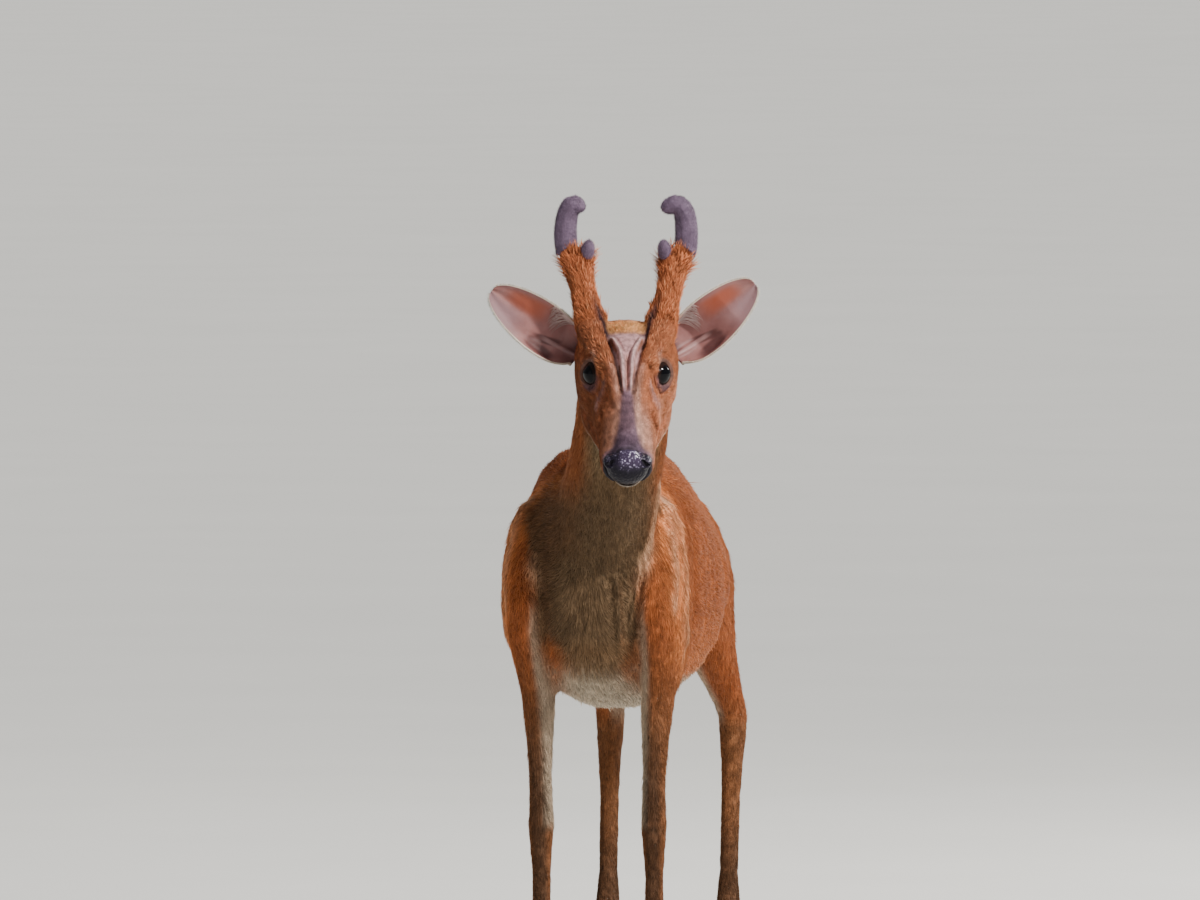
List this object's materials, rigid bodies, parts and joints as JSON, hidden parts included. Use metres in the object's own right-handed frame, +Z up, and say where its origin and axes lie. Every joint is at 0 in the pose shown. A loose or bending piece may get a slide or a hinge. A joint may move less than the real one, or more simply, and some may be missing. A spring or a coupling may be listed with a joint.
{
  "type": "indian muntjac buck",
  "caption": "Life-size Indian muntjac buck standing still on four hooves, head turned to face the viewer, antlers in velvet.",
  "frame": {"origin": "on the ground under the middle of the whole animal's box", "axes": "+Z up, -Y the way the trunk faces, +X the animal's left"},
  "size_m": [0.2472, 0.7658, 0.7352],
  "materials": {
    "coat": "short rufous hair lying flat",
    "leg_coat": "very short dark brown hair",
    "ear_skin": "thin bare mauve skin with sparse white hair",
    "velvet": "grey purple velvet skin with fine down",
    "nose_skin": "wet black pebbled skin",
    "eye": "wet and very dark",
    "hoof_horn": "dull black horn"
  },
  "bodies": {
    "root": {"torso": "coat", "neck": "coat", "head": "coat", "tail": "coat", "nose": "nose_skin", "eye_left": "eye", "eye_right": "eye", "ear_left": "ear_skin", "ear_right": "ear_skin", "pedicle_left": "coat", "pedicle_right": "coat", "antler_left_beam": "velvet", "antler_right_beam": "velvet", "antler_left_brow_tine": "velvet", "antler_right_brow_tine": "velvet", "foreleg_left_upper": "coat", "foreleg_right_upper": "coat", "hindleg_left_upper": "coat", "hindleg_right_upper": "coat", "foreleg_left_lower": "leg_coat", "foreleg_right_lower": "leg_coat", "hindleg_left_lower": "leg_coat", "hindleg_right_lower": "leg_coat", "foreleg_left_hoof_outer": "hoof_horn", "foreleg_left_hoof_inner": "hoof_horn", "foreleg_right_hoof_outer": "hoof_horn", "foreleg_right_hoof_inner": "hoof_horn", "hindleg_left_hoof_outer": "hoof_horn", "hindleg_left_hoof_inner": "hoof_horn", "hindleg_right_hoof_outer": "hoof_horn", "hindleg_right_hoof_inner": "hoof_horn"}
  },
  "joints": []
}
